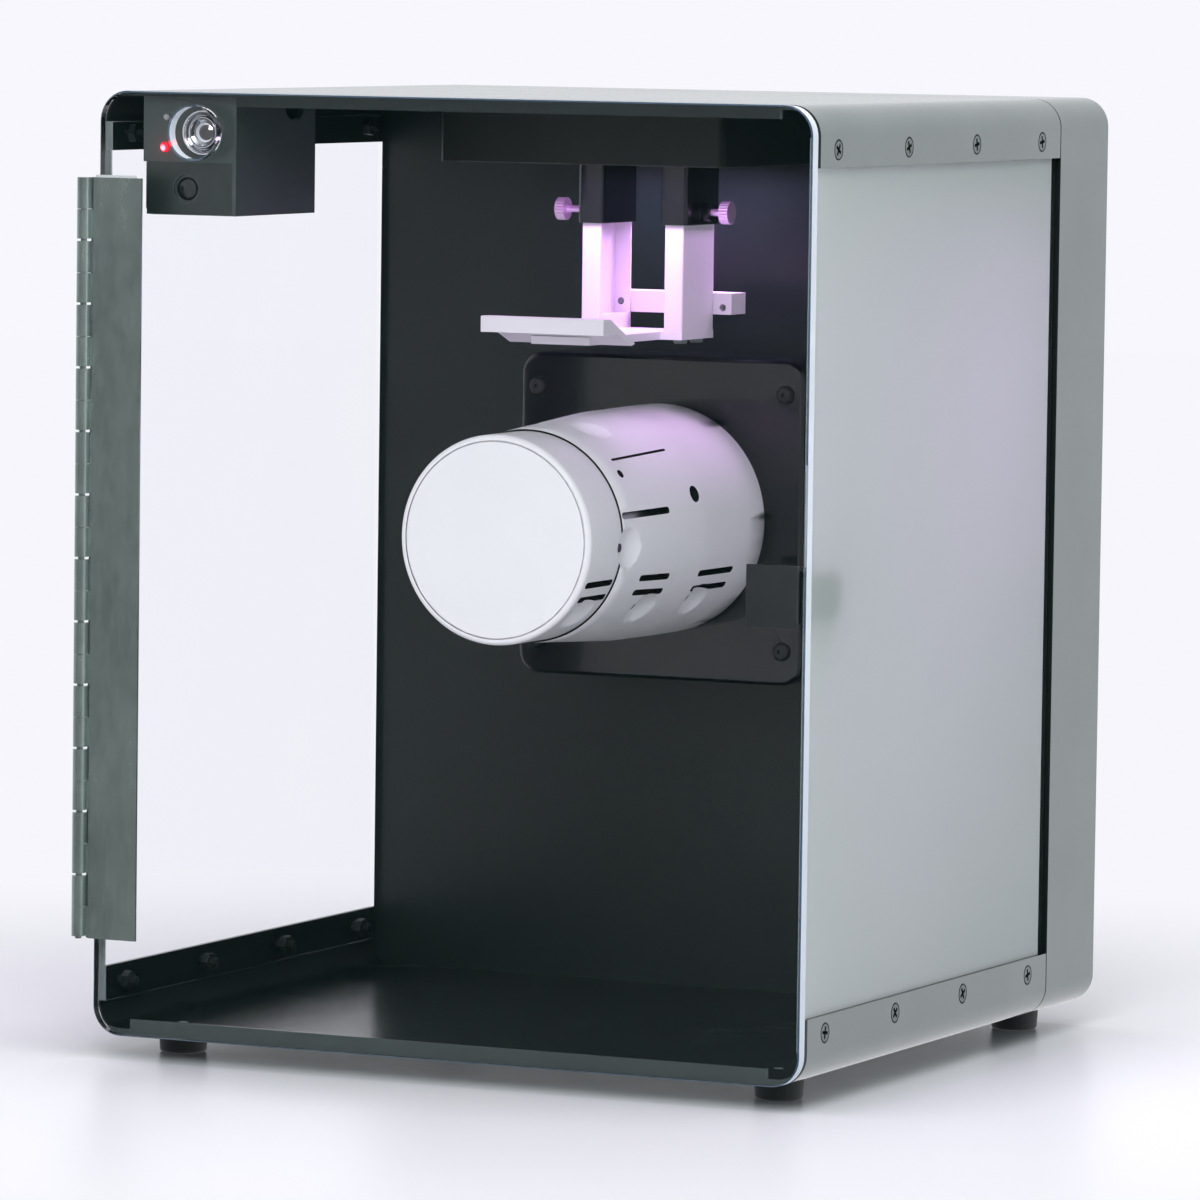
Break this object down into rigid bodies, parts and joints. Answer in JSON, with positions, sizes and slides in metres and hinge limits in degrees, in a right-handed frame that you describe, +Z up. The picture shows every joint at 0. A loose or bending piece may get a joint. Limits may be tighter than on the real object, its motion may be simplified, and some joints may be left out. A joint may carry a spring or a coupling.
{
  "type": "uv disinfection cabinet",
  "caption": "Bench cabinet with a clear hinged door, a push button, a hook plate for hung goods and a round lamp pod; ultraviolet lamps treat what hangs inside.",
  "frame": {"origin": "bottom centre of the whole cabinet's bounding box, on the plane of the feet", "axes": "+Z up, +X to the right seen from the door, +Y from the door to the rear cover"},
  "size_m": [0.3179, 0.3136, 0.388],
  "materials": {
    "shell_paint": "satin",
    "clear_acrylic": "polished clear",
    "screw_steel": "plated",
    "black_steel": "black oxide",
    "foot_rubber": "matt",
    "hinge_steel": "brushed",
    "bonding_tape": "pale foam",
    "black_plastic": "fine texture",
    "magnet": "plain",
    "button_chrome": "polished",
    "indicator_red": "lens",
    "board_green": "solder mask",
    "black_gloss": "gloss black",
    "window_glass": "clear",
    "lamp_violet": "lens",
    "white_plastic": "satin",
    "core_aluminium": "machined",
    "supply_steel": "plated sheet",
    "pin_brass": "plated",
    "lead_sheath": "matt"
  },
  "bodies": {
    "cabinet": {"bottom_tray": "shell_paint", "top_wrap": "shell_paint", "rear_shell": "shell_paint", "back_wall": "shell_paint", "back_cover": "shell_paint", "cover_screws": "screw_steel", "side_panel_right": "clear_acrylic", "side_panel_left": "clear_acrylic", "flange_screws": "screw_steel", "flange_nuts": "screw_steel", "feet": "foot_rubber", "foot_screws": "screw_steel", "hinge_body_leaf": "hinge_steel", "hinge_pin": "hinge_steel", "hinge_tape_body": "bonding_tape", "catch_body": "black_plastic", "catch_magnet": "magnet", "control_housing": "black_plastic", "control_lower_plate": "black_plastic", "start_button_body": "button_chrome", "start_button_nut": "button_chrome", "indicator_leds": "indicator_red", "control_board": "board_green", "lamp_housing": "black_gloss", "lamp_windows": "window_glass", "lamp_boards": "board_green", "lamp_chips": "lamp_violet", "ceiling_screws": "screw_steel", "hanger_tube_right": "black_gloss", "hanger_tube_left": "black_gloss", "clamp_bosses": "black_gloss", "pod_base": "black_gloss", "base_screws": "black_steel", "pod_cap": "white_plastic", "pod_body": "white_plastic", "pod_leds": "lamp_violet", "pod_screws": "screw_steel", "pod_core": "core_aluminium", "pod_fan_frame": "black_plastic", "power_inlet": "black_plastic", "inlet_pins": "pin_brass", "rocker_body": "black_plastic", "power_supply": "supply_steel", "driver_board": "board_green", "supply_lead": "lead_sheath"},
    "door": {"door_panel": "clear_acrylic", "hinge_door_leaf": "hinge_steel", "hinge_tape_door": "bonding_tape", "catch_strike": "black_steel"},
    "start_button": {"start_button_cap": "button_chrome"},
    "sensor_button": {"lower_button": "black_plastic"},
    "hanger": {"hanger_bar_left": "white_plastic", "hanger_bar_right": "white_plastic", "hanger_crosspiece": "white_plastic", "hanger_tongue": "white_plastic", "hanger_screws": "screw_steel"},
    "clamp_screw_right": {"thumb_screw_right": "black_steel"},
    "clamp_screw_left": {"thumb_screw_left": "black_steel"},
    "fan_rotor": {"pod_fan_rotor": "black_plastic"},
    "mains_rocker": {"rocker": "black_plastic"}
  },
  "joints": [
    {"name": "door_hinge", "type": "hinge", "parent": "cabinet", "child": "door", "pos_m": [-0.1562, -0.15404, 0.2011], "axis": [0, 0, -1], "range_deg": [0, 260]},
    {"name": "start_press", "type": "slide", "parent": "cabinet", "child": "start_button", "axis": [0, 1, 0], "range_m": [0, 0.002], "stiffness_N_per_m": 600, "springref_m": -0.001},
    {"name": "sensor_press", "type": "slide", "parent": "cabinet", "child": "sensor_button", "axis": [0, 1, 0], "range_m": [0, 0.0015], "stiffness_N_per_m": 400, "springref_m": -0.0005},
    {"name": "hanger_height", "type": "slide", "parent": "cabinet", "child": "hanger", "axis": [0, 0, 1], "range_m": [-0.0075, 0.024]},
    {"name": "clamp_turn_right", "type": "hinge", "parent": "cabinet", "child": "clamp_screw_right", "pos_m": [0.03055, 0.03876, 0.3398], "axis": [1, 0, 0], "range_deg": [0, 360]},
    {"name": "clamp_turn_left", "type": "hinge", "parent": "cabinet", "child": "clamp_screw_left", "pos_m": [-0.02665, 0.03876, 0.3398], "axis": [-1, 0, 0], "range_deg": [-360, 360]},
    {"name": "fan_spin", "type": "hinge", "parent": "cabinet", "child": "fan_rotor", "pos_m": [0.00195, 0.04586, 0.2123], "axis": [0, 1, 0], "continuous": true},
    {"name": "mains_switch", "type": "hinge", "parent": "cabinet", "child": "mains_rocker", "pos_m": [-0.09805, 0.15011, 0.089], "axis": [0, 0, 1], "range_deg": [-18, 0]}
  ]
}
